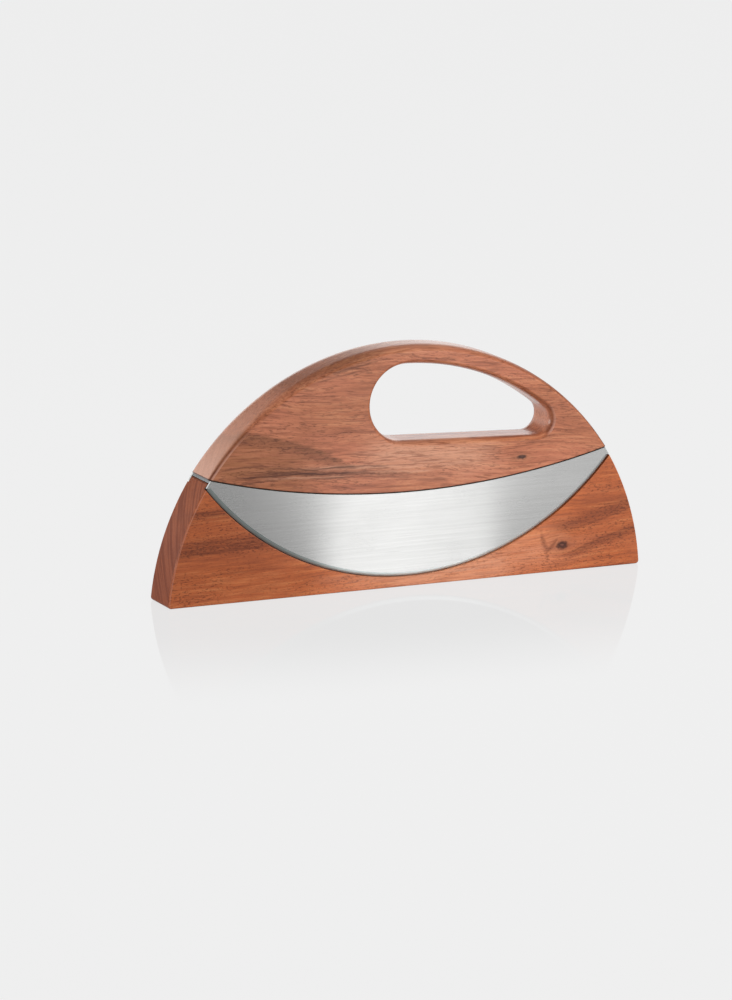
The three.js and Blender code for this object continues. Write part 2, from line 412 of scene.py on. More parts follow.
def newMaterial(name):
    material = bpy.data.materials.new(name)
    material.use_nodes = True
    tree = material.node_tree
    place = newNode(tree, "TexCoord", {}, "Object") * (1000.0, 1000.0, 1000.0)
    return material, tree.nodes["Principled BSDF"], place


# effects that several finishes share

def knotBendFrom(given):
    away = given["Position"] - given["Centre"]
    flat = away * joinUp(given["Squash"], 0.12, 1.0)  # the branch runs through the thickness
    ragged = noiseAt(away, (0.5, 0.2, 0.9), 3.0) - 0.5
    distance = lengthOf(flat)
    share = (distance + ragged * given["Radius"]) / given["Radius"]
    falloff = distance / given["Reach"]
    falloff = calc("EXPONENT", falloff * falloff * -1.0)
    side = splitUp(flat)[2] / (distance + 0.8)
    return {
        "Bend": side * falloff * given["Bulge"],
        "Core": fadeAt(share, 0.5, 1.25),
        "Heart": fadeAt(share, 0.0, 0.4),
        "Halo": fadeAt(share, 0.8, 3.4),
    }


def boardGrainFrom(given):
    moved = given["Position"] + given["Seed"]
    sway = (noiseAt(moved, (0.014, 0.02, 0.032)) - 0.5) * given["Wander"]
    flow = moved + joinUp(0.0, sway * 0.6, sway)

    # growth rings round the pith, which lies outside the board
    radius = lengthOf((given["Position"] - given["Pith"]) * (0.0, 1.0, 1.0)) + sway
    drift = noiseAt(moved, (0.006, 0.05, 0.05)) * 2.4
    phase = calc("FRACT", radius / given["Ring Spacing"] + drift)

    # pores are short dark dashes, closer together where the wood is dark
    x, y, z = splitUp(flow)
    dashes = noiseAt(joinUp(x * given["Pore Rate"], y, z), (1.0, 1.5, 1.5), 2.0, 0.6)
    dashes = dashes + given["Crowding"] * 0.06
    crowd = easeAt(noiseAt(flow, (0.022, 0.11, 0.11)), 0.36, 0.6, 0.3, 1.0)
    crowd = calc("ADD", crowd, given["Crowding"], clamp=True)

    # veins are thin broken lines along the grain
    swell = abs(noiseAt(flow, (0.03, 0.5, 0.5), 1.0) - 0.5)
    broken = easeAt(noiseAt(flow, (0.07, 0.9, 0.9)), 0.42, 0.62)

    return {
        "Rings": easeAt(phase, 0.25, 0.88) * fadeAt(phase, 0.9, 1.0),
        "Streaks": easeAt(noiseAt(flow, (0.022, 0.36, 0.5), 3.0, 0.6), 0.3, 0.7),
        "Fibre": easeAt(noiseAt(flow, (0.04, 0.7, 0.7), 5.0, 0.78), 0.36, 0.64),
        "Pores": easeAt(dashes, 0.55, 0.63) * crowd,
        "Veins": fadeAt(swell, 0.025, 0.1) * broken,
        "Figure": easeAt(noiseAt(moved, (0.013, 0.02, 0.04), 3.0), 0.3, 0.7),
        "Layers": easeAt(noiseAt(flow, (0.012, 1.3, 0.06), 3.0, 0.65), 0.3, 0.7),
        "Blush": easeAt(noiseAt(moved + (70.0, 0.0, 30.0), (0.012, 0.02, 0.05)), 0.35, 0.65),
    }


def grainBandFrom(given):
    position = given["Position"]
    x, y, z = splitUp(position - given["Centre"])
    ragged = noiseAt(position, (0.035, 0.2, 0.25), 3.0, 0.6) - 0.5
    fine = noiseAt(position, (0.06, 0.9, 1.3), 3.0, 0.6) - 0.5
    wave = noiseAt(position, (0.055, 0.05, 0.05), 3.0, 0.55) - 0.5
    line = x * given["Slope"] + x * x * given["Curve"] + wave * given["Waver"]
    off = (z + y * 0.25 - line) / given["Half Width"] + ragged * 1.2
    off = off + calc("MAXIMUM", off, 0.0) * given["Crisp"]
    along = abs(x) / given["Half Length"] + ragged * 0.5
    body = calc("EXPONENT", off * off * -1.0) * fadeAt(along, 0.45, 1.0)
    return {"Band": calc("MULTIPLY", body, fine * 1.8 + 0.9, clamp=True)}


# masks for the painted shade and painted highlights on rolled edges, and for edge wear
def edgeShadeSheenAndWearFrom(given):
    x, y, z = splitUp(given["Normal"])
    facing = abs(y)
    lip = easeAt(facing, 0.55, 0.8) * fadeAt(facing, 0.965, 0.996)
    # share of the sideways slope, so that it holds all through the roll
    sideways = x / calc("SQRT", calc("MAXIMUM", 1.0 - y * y, 0.0004))
    rightward = easeAt(sideways, 0.12, 0.55)
    # to the right the outer rim turns away from the light over its whole thickness
    reach = reachFrom(given["Position"], discCentre)
    outer = easeAt(reach, outline["radius"] - 6.0, outline["radius"] - 4.0)
    turn = largest(easeAt(facing, 0.1, 0.45), outer * rightward) * fadeAt(facing, 0.65, 0.9)
    patchy = easeAt(noiseAt(given["Position"], (0.09, 0.5, 0.09), 4.0, 0.65), 0.4, 0.68)
    return {
        "Lip": lip,
        "Turn": turn,
        "Across": easeAt(abs(sideways), 0.5, 0.85),
        "Leftward": fadeAt(sideways, -0.85, -0.5),
        "Rightward": rightward,
        # edge wear, and partly a painted highlight on the rolled edges
        "Wear": largest(lip, turn) * patchy,
    }


def endGrainFrom(given):
    x, y, z = splitUp(given["Normal"])
    alongX, alongY, alongZ = splitUp(given["Position"])
    slanted = joinUp(alongX, alongY - alongZ * 0.85, alongZ)
    return {
        "End": easeAt(abs(x), 0.45, 0.85) * fadeAt(abs(y), 0.15, 0.5),
        "Specks": easeAt(noiseAt(given["Position"], (0.3, 1.6, 1.6), 2.0, 0.6), 0.5, 0.66),
        "Lines": easeAt(noiseAt(slanted, (0.04, 0.42, 0.03), 4.0, 0.7), 0.42, 0.62),
    }


def handlingMarksFrom(given):
    smear = noiseAt(given["Position"], (0.03, 0.03, 0.045), 4.0, 0.6)
    return {"Smudge": easeAt(smear, 0.38, 0.68)}


def brushLinesFrom(given):
    moved = given["Position"] + given["Seed"]
    return {
        "Lines": easeAt(noiseAt(moved, (0.05, 5.0, 5.0), 3.0, 0.7), 0.25, 0.75),
        "Long Lines": easeAt(noiseAt(moved, (0.014, 0.9, 0.9), 4.0, 0.65), 0.3, 0.7),
        "Scratches": easeAt(noiseAt(moved, (0.04, 2.2, 2.2), 1.0), 0.7, 0.78),
    }


knotBend = newGroup("knotBend", knotBendFrom, ["Position", "Centre"],
                    ["Radius", "Reach", "Bulge", "Squash"])
boardGrain = newGroup("boardGrain", boardGrainFrom, ["Position", "Pith", "Seed"],
                      ["Ring Spacing", "Wander", "Pore Rate", "Crowding"])
grainBand = newGroup("grainBand", grainBandFrom, ["Position", "Centre"],
                     ["Slope", "Half Length", "Half Width", "Waver", "Curve", "Crisp"])
edgeShadeSheenAndWear = newGroup("edgeShadeSheenAndWear", edgeShadeSheenAndWearFrom, ["Position", "Normal"])
endGrain = newGroup("endGrain", endGrainFrom, ["Position", "Normal"])
handlingMarks = newGroup("handlingMarks", handlingMarksFrom, ["Position"])
brushLines = newGroup("brushLines", brushLinesFrom, ["Position", "Seed"])
print("shared effects built:", len(bpy.data.node_groups))


def bandsOver(position, bands):
    cover = 0.0
    for band in bands:
        x, z, slope, length, width, depth, waver, curve, crisp = (band + (0.0, 0.0))[:9]
        mask = useGroup(grainBand, {
            "Position": position, "Centre": (x, 0.0, z), "Slope": slope, "Half Length": length / 2,
            "Half Width": width / 2, "Waver": waver, "Curve": curve, "Crisp": crisp})
        cover = calc("MAXIMUM", cover, mask["Band"] * depth)
    return cover


def pocketPaintedShade(place):
    # painted shade: a dark line along the foot of the pocket wall, where shade falls in the narrow gap under
    # the blade
    near = pocketRadius - reachFrom(place, cuttingCentre)
    wall = easeAt(near, 0.8, 2.8, 0.9, 0.08) * easeAt(near, 0.0, 0.25)
    deep = halfDepth - abs(splitUp(place)[1])
    return wall * easeAt(deep, 0.15, 0.3) * fadeAt(deep, 2.0, 2.2)


def seamPaintedShade(place, normal):
    # painted shade: the wood's outer edge is darkened next to the joint with the steel, where shade falls in
    # the gap, on handle and block alike
    steep = fadeAt(abs(splitUp(normal)[2]), 0.75, 0.95)
    reach = reachFrom(place, jointCentre)
    above = easeAt(reach, outline["jointRadius"] - 0.7, outline["jointRadius"] - 0.25)
    return above * fadeAt(reach, saddleRadius + 0.35, saddleRadius + 0.8) * steep


# what both boards share
oiled = {
    "poresOnEdges": 0.3, "bumpOnEdges": 0.35, "paleClearing": 0.9,
    "haloShare": 0.3, "coreShare": 0.9, "heartShare": 0.7,
    "speckShare": 0.15, "wearAndSheenShare": 0.15, "seamShadeShare": 0.85, "rightShare": 0.6, "highRolls": 0.2,
    "roughness": 0.45, "poreRoughness": 0.2, "smudgeRoughness": 0.06, "polish": 0.06,
    "fibreHeight": 0.35, "knotHollow": 0.8, "bumpDepth": 0.08, "bumpStrength": 0.5,
    "refraction": 1.4, "bareShine": 0.05,
}


def oiledWood(name, look):
    look = {**oiled, **look}
    material, shader, place = newMaterial(name)
    normal = newNode(place.tree, "TexCoord", {}, "Normal")
    knot = useGroup(knotBend, {
        "Position": place, "Centre": look["knotAt"], "Radius": look["knotRadius"],
        "Reach": look["knotReach"], "Bulge": look["knotBulge"], "Squash": look["knotSquash"]})
    bent = place - joinUp(0.0, 0.0, knot["Bend"])
    tilted = newNode(place.tree, "VectorRotate", {
        "Vector": bent, "Angle": math.radians(look["tilt"])}, rotation_type="Y_AXIS")
    # the pale bands are partly pale streaks in the wood and partly a painted sheen across the middle of the
    # board; pores thin out under them
    stain, pale = bandsOver(bent, look["bands"]), bandsOver(bent, look["paleStreakAndSheenBands"])
    grain = useGroup(boardGrain, {
        "Position": tilted, "Pith": look["pith"], "Seed": look["seed"], "Ring Spacing": look["ringSpacing"],
        "Wander": look["wander"], "Pore Rate": look["poreRate"], "Crowding": stain})
    ends = useGroup(endGrain, {"Position": place, "Normal": normal})
    edges = useGroup(edgeShadeSheenAndWear, {"Position": place, "Normal": normal})
    marks = useGroup(handlingMarks, {"Position": place})
    x, y, z = splitUp(place)
    facing = abs(splitUp(normal)[1])

    tone = grain["Rings"] * -look["ringDepth"]
    for label, share in look["shares"].items():
        tone = tone + grain[label] * share
    pores = grain["Pores"] * easeAt(facing, 0.2, 0.85, look["poresOnEdges"], 1.0)
    poreShare = (1.0 - pale * look["paleClearing"]) * look["poreDepth"]
    endShare = easeAt(x, -40.0, 60.0, *look["endShares"])
    # painted shade: end faces darker towards the foot
    foot = easeAt(z, 5.0, 60.0, look["endFootShade"], 0.0)
    specksLinesAndFootShade = ends["Specks"] * look["speckShare"] + ends["Lines"] * look["endLines"] + foot
    low = easeAt(z, *look["rollFade"], 1.0, look["highRolls"])
    across = largest(edges["Across"] * low, edges["Rightward"] * look["rightShare"])
    layers = [
        (grain["Blush"] * look["blushShare"], "blush"),
        # painted shade: broad darker bands where the light falls off, away from the lit middle of the board
        (bandsOver(bent, look["paintedShadeBands"]), "shade"),
        # pale streaks and painted sheen
        (pale, "pale"),
        (stain, "band"),
        (grain["Veins"] * look["veinDepth"], "vein"),
        (bandsOver(bent, look["darkLines"]), "pore"),
        (pores * poreShare, "pore"),
        (knot["Halo"] * look["haloShare"], "band"),
        (knot["Core"] * look["coreShare"], "knotRim"),
        (knot["Heart"] * look["heartShare"], "knotHeart"),
        (ends["End"] * endShare, "endTone"),
        (calc("MULTIPLY", ends["End"], specksLinesAndFootShade, clamp=True), "band"),
        # painted shade on rolled edges turned away from the light, and a painted highlight along the
        # left-facing lips
        (edges["Turn"] * across * look["rollShadeShare"], "rollShadeTone"),
        (edges["Lip"] * edges["Leftward"] * low * look["lipHighlightShare"], "lipHighlightTone"),
        # edges lightened by wear and by a painted highlight
        (edges["Wear"] * look["wearAndSheenShare"], "light"),
        # painted shade along the joint with the steel
        (seamPaintedShade(place, normal) * look["seamShadeShare"], "seamShadeTone"),
    ]
    if look["hasPockets"]:
        # painted shade in the pockets under the blades
        layers.append((pocketPaintedShade(place), "pocketShadeTone"))
    colour = rampOf(tone, [(0.0, look["dark"]), (0.45, look["middle"]), (0.9, look["light"])])

    rough = pores * look["poreRoughness"] + look["roughness"] + marks["Smudge"] * look["smudgeRoughness"]
    rough = rough - grain["Fibre"] * look["polish"] - edges["Wear"] * look["polish"]
    height = grain["Fibre"] * look["fibreHeight"] - pores
    height = height * easeAt(facing, 0.2, 0.85, look["bumpOnEdges"], 1.0)
    height = height - knot["Core"] * look["knotHollow"]
    dull = largest(ends["End"] * look["endDulling"], edges["Lip"] * look["lipDulling"],
                   edges["Turn"] * largest(edges["Rightward"], edges["Leftward"]))
    feed(shader.inputs, {
        "Base Color": layered(colour, look, layers),
        "Roughness": rough,
        "Normal": bumpFrom(height, look["bumpDepth"], look["bumpStrength"]),
        "IOR": look["refraction"],
        "Specular IOR Level": look["bareShine"],
        "Coat IOR": look["refraction"],
        "Coat Weight": (1.0 - dull) * look["oil"],
        "Coat Roughness": look["oilRoughness"],
    })
    return material


# what all the steel shares
brushed = {
    "lineShare": 0.5, "scratchShare": 0.25, "smudgeShare": 0.06,
    "lineRoughness": 0.06, "smudgeRoughness": 0.03, "longLineHeight": 0.12, "bumpStrength": 0.25,
    "glintTurn": 0.25,  # glints spread across the brushing
    # painted reflection: the bright tone ramped along one axis stands in for brighter reflections
    "paintedSheenRamp": (2, 0.0, 80.0, 0.3, 0.0),  # axis, two places along it, and the share of the bright tone at each
    "anisotropy": 0.3, "metal": 1.0,
}


def brushedMetal(name, look):
    look = {**brushed, **look}
    material, shader, place = newMaterial(name)
    brush = useGroup(brushLines, {"Position": place, "Seed": look["seed"]})
    marks = useGroup(handlingMarks, {"Position": place})
    tone = brush["Lines"] * look["lineShare"] + brush["Long Lines"] * look["lineShare"]
    axis, *paintedSheenRamp = look["paintedSheenRamp"]
    layers = [
        (brush["Scratches"] * look["scratchShare"], "scratch"),
        (marks["Smudge"] * look["smudgeShare"], "dark"),
        # painted reflection, ramped along one axis
        (easeAt(splitUp(place)[axis], *paintedSheenRamp), "bright"),
    ]
    colour = rampOf(tone, [(0.1, look["dark"]), (0.9, look["light"])])
    rough = brush["Lines"] * look["lineRoughness"] + look["roughness"]
    height = brush["Lines"] + brush["Long Lines"] * look["longLineHeight"]
    feed(shader.inputs, {
        "Base Color": layered(colour, look, layers),
        "Roughness": rough + marks["Smudge"] * look["smudgeRoughness"],
        "Normal": bumpFrom(height, look["lineDepth"], look["bumpStrength"]),
        "Metallic": look["metal"],
        "Anisotropic": look["anisotropy"],
        "Anisotropic Rotation": look["glintTurn"],
    })
    return material


# bands are x, z, slope, length, width, depth and waver, then curve and crispness of the upper edge if any
handleFinish = {
    "dark": "#8a4e34", "middle": "#b66e4d", "light": "#cf8d66", "blush": "#c3785e", "pale": "#d9a284",
    # the seam tone is the colour of the painted shade along the joint
    "band": "#74462c", "vein": "#7c4630", "pore": "#4a2418", "shade": "#8f5a38", "seamShadeTone": "#2a1610",
    # the roll tone is painted shade on rolled edges turned from the light, the lip tone a painted highlight
    # on the left-facing lips
    "rollShadeTone": "#4f2a26", "rollShadeShare": 0.7, "lipHighlightTone": "#dcaa9a", "lipHighlightShare": 0.5, "rollFade": (76.0, 108.0),
    "knotRim": "#2c150e", "knotHeart": "#5e3a2c",
    "shares": {"Streaks": 0.3, "Fibre": 0.4, "Figure": 0.16, "Layers": 0.14}, "blushShare": 0.4,
    "tilt": -4.5, "pith": (0.0, 70.0, 160.0), "ringSpacing": 7.0, "ringDepth": 0.12,
    "wander": 9.0, "seed": (40.0, 10.0, 75.0), "poreRate": 0.26, "poreDepth": 0.5, "veinDepth": 0.6,
    "knotAt": (70.4, -12.5, 69.4), "knotRadius": 1.3, "knotReach": 6.0, "knotBulge": 1.5, "knotSquash": 0.38,
    "endTone": "#dfae98", "endShares": (0.6, 0.2), "endLines": 0.12, "endFootShade": 0.0, "endDulling": 0.2,
    "lipDulling": 0.9, "oil": 1.0, "oilRoughness": 0.25, "hasPockets": False,
    "bands": [
        (-78, 86, -0.3, 118, 11, 0.75, 1, -0.0029, 3),
        (-57, 66.9, -0.06, 130, 6, 0.5, 2),
        (-52, 126, 0.25, 80, 10, 0.55, 1),
    ],
    "darkLines": [
        (-62, 67.2, -0.065, 84, 1.4, 0.95, 4),
        (-96, 64.6, 0.02, 34, 0.9, 0.8, 3),
        (-72, 70, -0.09, 40, 0.9, 0.75, 4),
        (-50, 63.6, -0.04, 36, 1.1, 0.85, 4),
        (-105, 73.8, 0.03, 46, 1.2, 0.6, 2, -0.004),
        (-88, 67.6, -0.02, 56, 1.3, 0.9, 3),
        (-38, 69, -0.05, 64, 1, 0.75, 4),
        (-30, 64, -0.06, 80, 0.9, 0.55, 4),
        (-18, 61.6, -0.07, 56, 1, 0.55, 3),
        (-37.6, 125.7, 0.18, 36, 1.4, 0.6, 2),
        (-48, 121, 0.2, 40, 1, 0.5, 3),
    ],
    # broad bands of painted shade, darker away from the lit middle of the handle
    "paintedShadeBands": [
        (-108, 74, -0.1, 130, 34, 0.75, 1),
        (-48, 104, 0.2, 90, 30, 0.25, 1),
        (-92, 117, 0.75, 80, 22, 0.5, 1),
        (104, 86, -0.6, 70, 26, 0.3, 1),
    ],
    # pale streaks, and a painted sheen across the middle of the handle
    "paleStreakAndSheenBands": [
        (10, 72, -0.08, 110, 18, 0.65, 2),
        (0, 140, -0.05, 130, 14, 0.3, 2),
        (-25, 68, -0.06, 100, 3.2, 0.75, 3),
        (-66, 65, -0.05, 70, 1.4, 0.6, 3),
        (-14, 64.4, -0.07, 70, 2, 0.6, 3),
    ],
}

blockFinish = {
    "dark": "#8c4626", "middle": "#c36836", "light": "#dc8b54", "blush": "#c4714e", "pale": "#e3a584",
    # the seam tone is the colour of the painted shade along the joint
    "band": "#6c331d", "vein": "#96502e", "pore": "#5a2916", "shade": "#8c4526", "seamShadeTone": "#28120c",
    # the roll tone is painted shade on rolled edges turned from the light, the lip tone a painted highlight
    # on the left-facing lips
    "rollShadeTone": "#6a3826", "rollShadeShare": 0.1, "lipHighlightTone": "#d08e7c", "lipHighlightShare": 0.4, "rollFade": (70.0, 90.0),
    "knotRim": "#34130d", "knotHeart": "#8a5444",
    "shares": {"Streaks": 0.28, "Fibre": 0.36, "Figure": 0.22, "Layers": 0.14}, "blushShare": 0.3,
    "tilt": 1.5, "pith": (0.0, -45.0, 74.0), "ringSpacing": 5.5, "ringDepth": 0.12,
    "wander": 6.0, "seed": (-90.0, 33.0, 12.0), "poreRate": 0.5, "poreDepth": 0.65, "veinDepth": 0.4,
    "knotAt": (98.1, -12.5, 15.4), "knotRadius": 2.7, "knotReach": 8.0, "knotBulge": 2.5, "knotSquash": 0.68,
    # the end foot is painted shade, darker towards the foot of the end faces
    "endTone": "#874b33", "endShares": (0.8, 0.7), "endLines": 0.8, "endFootShade": 0.45, "endDulling": 0.85,
    "lipDulling": 0.5, "oil": 0.9, "oilRoughness": 0.28,
    # the pocket tone is the colour of the painted shade in the gap under the blade
    "hasPockets": True, "pocketShadeTone": "#2a130b",
    "bands": [
        (-116, 30, 0.02, 100, 9, 0.7, 2, 0.0003),
        (-122, 49, 0, 60, 6, 0.65, 2),
        (127, 13.2, 0.27, 68, 5, 0.65, 3),
        (120, 28.5, 0.26, 76, 8, 0.62, 3),
        (86.6, 13.5, -2, 7, 7, 0.55, 5),
        (91, 12, 0.8, 10, 2.4, 0.65, 4),
    ],
    "darkLines": [
        (-118, 27, 0.03, 70, 1.4, 0.5, 3),
        (-116, 33, 0.02, 60, 1, 0.4, 3),
        (-124, 50, 0, 40, 1.2, 0.45, 3),
        (-112, 14, 0.03, 80, 1, 0.35, 4),
        (124, 26, 0.26, 50, 1.2, 0.4, 3),
        (118, 12.5, 0.27, 60, 1, 0.4, 3),
    ],
    # broad bands of painted shade over both ends of the block, darker away from the lit middle
    "paintedShadeBands": [
        (-128, 30, 0, 180, 120, 0.62, 0),
        (144, 30, 0, 110, 120, 0.45, 0),
    ],
    # a painted sheen across the lower middle of the block
    "paleStreakAndSheenBands": [
        (30, 6, 0.03, 190, 16, 0.42, 2),
        (76, 14, 0.05, 70, 20, 0.35, 2),
        (26, 5, 0.03, 120, 24, 0.62, 2),
    ],
}

steelFinish = {
    "dark": "#b4b4b3", "light": "#bdbdbc", "scratch": "#9a9a99", "bright": "#cfcfce",
    # painted reflection: the blade face lighter towards the top
    "paintedSheenRamp": (2, 36.0, 54.0, 0.0, 0.16), "seed": (0.0, 0.0, 0.0),
    "roughness": 0.2, "anisotropy": 0.6, "lineDepth": 0.0014,
}

groundFinish = {
    "dark": "#879290", "light": "#939e9c", "scratch": "#7f8987", "bright": "#e2eeef",
    # painted reflection: the ground edge lighter towards the right end
    "paintedSheenRamp": (0, -85.0, 40.0, 0.0, 1.0), "seed": (20.0, 4.0, 31.0),
    "roughness": 0.35, "anisotropy": 0.0, "lineDepth": 0.002, "metal": 0.5,
}

bridgeFinish = {
    "dark": "#808384", "light": "#979a9b", "scratch": "#6e7172", "bright": "#979a9b",
    "seed": (5.0, 61.0, 17.0), "roughness": 0.36, "lineDepth": 0.003,
}

screwFinish = {
    "dark": "#9a9ca0", "light": "#b4b6ba", "scratch": "#77797d", "bright": "#b4b6ba",
    "seed": (50.0, 20.0, 8.0), "roughness": 0.34, "lineDepth": 0.004,
}

handleWood = oiledWood("handle wood", handleFinish)
blockWood = oiledWood("block wood", blockFinish)
bladeSteel = brushedMetal("blade steel", steelFinish)
groundSteel = brushedMetal("ground steel", groundFinish)
bridgeSteel = brushedMetal("bridge steel", bridgeFinish)
screwSteel = brushedMetal("screw steel", screwFinish)
print("finishes built:", len(bpy.data.materials))


# screws first, because handle and bridge are drilled for them

screws = {
    "count": 4, "endDistance": 23.0, "clearance": 0.3,
    "headRadius": 3.0, "shankRadius": 1.5, "coreRadius": 1.1, "pointRadius": 0.03,
    "length": 16.0, "pointLength": 4.0,
    "pitch": 1.25, "crestWidth": 0.28, "threadRunIn": 1.2,
    "recessLength": 3.6, "recessWidth": 0.85, "recessDepth": 1.5,
    "segments": 32, "roomSegments": 48, "sharpDegrees": 35,
}
headHeight = screws["headRadius"] - screws["shankRadius"]


def screwPlaces():
    endX = circlesCross(discCentre, tipRadius, jointCentre, bridgeTop)[0]
    last = math.asin(endX / bridgeTop) - screws["endDistance"] / bridgeTop
    places = []
    for i in range(screws["count"]):
        angle = (2 * i / (screws["count"] - 1) - 1) * last
        axis = Vector((-math.sin(angle), 0, math.cos(angle)))
        foot = (Vector((0, 0, jointCentre)) - axis * bridgeUnder) * mm
        turn = Vector((0, 0, 1)).rotation_difference(axis)
        places.append(Matrix.Translation(foot) @ turn.to_matrix().to_4x4())
    return places


def screwRoom(place):
    head = screws["headRadius"] + screws["clearance"]
    shank = screws["shankRadius"] + screws["clearance"]
    deep = screws["length"] + screws["clearance"]
    gap = outline["restGap"]
    profile = [(0, -gap), (head + gap, -gap), (shank, headHeight), (shank, deep), (0, deep)]
    tool = turned("screw room", profile, screws["roomSegments"])
    tool.data.transform(place)
    return tool


def recessTool(turn):
    # one arm of the cross recess, narrowing as it goes in
    rings = []
    for height, grow in ((-0.2, 1.05), (screws["recessDepth"], 0.3)):
        a = screws["recessLength"] / 2 * grow
        b = screws["recessWidth"] / 2 * (0.5 + 0.5 * grow)
        rings.append([(-a, -b, height), (a, -b, height), (a, b, height), (-a, b, height)])
    tool = lofted("recess tool", rings)
    tool.data.transform(Matrix.Rotation(turn, 4, "Z"))
    return tool


def screwBody(name):
    segments, pitch, length = screws["segments"], screws["pitch"], screws["length"]
    head, shank, core = screws["headRadius"], screws["shankRadius"], screws["coreRadius"]
    rows = [(head - 0.15, 0.0), (head, 0.12), (head, 0.25), (shank, headHeight), (core, headHeight + 0.6)]
    rings = [[row] * segments for row in rows]
    threadStart, threadEnd = headHeight + 0.8, length - 0.1
    pointStart = length - screws["pointLength"]
    stations = int((threadEnd - threadStart) / pitch * 8)
    for k in range(stations + 1):
        height = mixOf(threadStart, threadEnd, k / stations)
        taper = 1 - max(0.0, (height - pointStart) / screws["pointLength"])
        runIn = easeBetween(threadStart, threadStart + screws["threadRunIn"], height)
        ring = []
        for i in range(segments):
            phase = (height / pitch - i / segments) % 1.0
            crest = max(0.0, 1 - abs(phase - 0.5) / screws["crestWidth"]) * runIn
            ring.append((max(mixOf(core, shank, crest) * taper, screws["pointRadius"]), height))
        rings.append(ring)
    body = lofted(name, [ringPoints(ring) for ring in rings])
    carve(body, [recessTool(0.0), recessTool(math.pi / 2)])
    return body


places = screwPlaces()
for number, place in enumerate(places, 1):
    node = "bridge_screw_%d" % number
    screw = screwBody("bridge-screw-%d" % number)
    screw.data.transform(place)
    placed(screw, node, "knife", screwSteel, screws["sharpDegrees"])
print("screws built:", len(places))


# handle

handle = {
    "overhang": 1.0,
    "rimDepthGrip": 8.5, "rimDepthTip": 3.0,
    "rimInsetGrip": 3.5, "rimInsetTip": 2.0,
    "holeWideRadius": 22.0, "holeNarrowRadius": 9.0, "holeTopRadius": 150.0,
    "holeWideAngle": -1.75, "holeNarrowAngle": 38.0,
    "gripThickness": 10.5, "gripEndThickness": 12.0,
    "holeEdgeDepth": 6.0, "holeEdgeInset": 3.0,
    "lowerArris": 0.35, "sharpDegrees": 38,
    "rimSteps": 480, "rollSteps": 10, "archSteps": 260, "arrisSteps": 5,
    "holeTopSteps": 70, "holeNarrowSteps": 36, "holeWideSteps": 90, "sillSteps": 40,
}
handleRadius = outline["radius"] + handle["overhang"]


def handleRim():
    tip = circlesCross(discCentre, handleRadius, jointCentre, outline["jointRadius"])
    tipAngle = math.atan2(tip[0], tip[1] - discCentre)
    rim = []
    for i in range(handle["rimSteps"]):
        lean = (i + 0.5) / handle["rimSteps"] * 2 * math.pi - math.pi
        soft = math.cos(min(abs(lean) / tipAngle, 1.0) * math.pi / 2)
        outX, outZ = -math.sin(lean), math.cos(lean)
        inset = mixOf(handle["rimInsetTip"], handle["rimInsetGrip"], soft)
        depth = mixOf(handle["rimDepthTip"], handle["rimDepthGrip"], soft)
        rim.append((handleRadius * outX, handleRadius * outZ + discCentre, outX, outZ, inset, depth))
    return rim


def holeEnd(radius, wood, degrees):
    reach = handleRadius - wood - radius
    lean = math.radians(degrees)
    return Vector((reach * math.sin(lean), reach * math.cos(lean) + discCentre))


def holeRim():
    wideRadius, narrowRadius = handle["holeWideRadius"], handle["holeNarrowRadius"]
    topRadius = handle["holeTopRadius"]
    wide = holeEnd(wideRadius, handle["gripThickness"], handle["holeWideAngle"])
    narrow = holeEnd(narrowRadius, handle["gripEndThickness"], handle["holeNarrowAngle"])
    span = (narrow - wide).length
    along = (narrow - wide) / span
    down = Vector((along.y, -along.x))
    toWide, toNarrow = topRadius - wideRadius, topRadius - narrowRadius
    run = (toWide ** 2 - toNarrow ** 2 + span ** 2) / (2 * span)
    top = wide + along * run + down * math.sqrt(toWide ** 2 - run ** 2)
    slope = (wideRadius - narrowRadius) / span
    sill = down * math.sqrt(1 - slope ** 2) + along * slope
    sillAngle = math.atan2(sill.y, sill.x)
    wideTop, narrowTop = angleFrom(top, wide), angleFrom(top, narrow)
    points = arcPoints(top, topRadius, wideTop, narrowTop, handle["holeTopSteps"], -1)[1:]
    points += arcPoints(narrow, narrowRadius, narrowTop, sillAngle, handle["holeNarrowSteps"], -1)[1:]
    points += sillPoints(points[-1], wide + sill * wideRadius, -sill)
    points += arcPoints(wide, wideRadius, sillAngle, wideTop - 2 * math.pi, handle["holeWideSteps"], -1)
    return [p + (handle["holeEdgeInset"], handle["holeEdgeDepth"]) for p in points]


def sillPoints(start, end, out):
    shares = [i / handle["sillSteps"] for i in range(1, handle["sillSteps"])]
    return [(mixOf(start[0], end[0], s), mixOf(start[1], end[1], s), out[0], out[1]) for s in shares]


def arrisTurns(steps):
    return [k / steps * math.pi / 2 for k in range(steps + 1)]


def archTool(radius, arris):
    # everything below the joint arc, flared at both faces so the wood keeps a rounded arris
    face, floor = halfDepth + toolReach, -180.0
    stations = [(face, arris + toolReach)]
    for turn in reversed(arrisTurns(handle["arrisSteps"])):
        stations.append((halfDepth - arris + arris * math.sin(turn), arris * (1 - math.cos(turn))))
    stations = [(-y, rise) for y, rise in stations] + stations[::-1]
    reach = math.asin((handleRadius + toolReach) / radius)
    rows = []
    for i in range(handle["archSteps"] + 1):
        x, z = wayAt(-math.pi / 2 + reach * (2 * i / handle["archSteps"] - 1))
        points = [(x * (radius - rise), y, jointCentre + z * (radius - rise)) for y, rise in stations]
        rows.append(points + [(x * radius, face, floor), (x * radius, -face, floor)])
    return lofted("arch tool", rows)


handlePiece = rolledPlate("handle-board", [handleRim(), holeRim()], handle["rollSteps"])
underside = archTool(outline["jointRadius"], handle["lowerArris"])
carve(handlePiece, [underside] + [screwRoom(p) for p in places])
placed(handlePiece, "handle", "knife", handleWood, handle["sharpDegrees"])
print("handle built:", len(handlePiece.data.polygons), "faces")


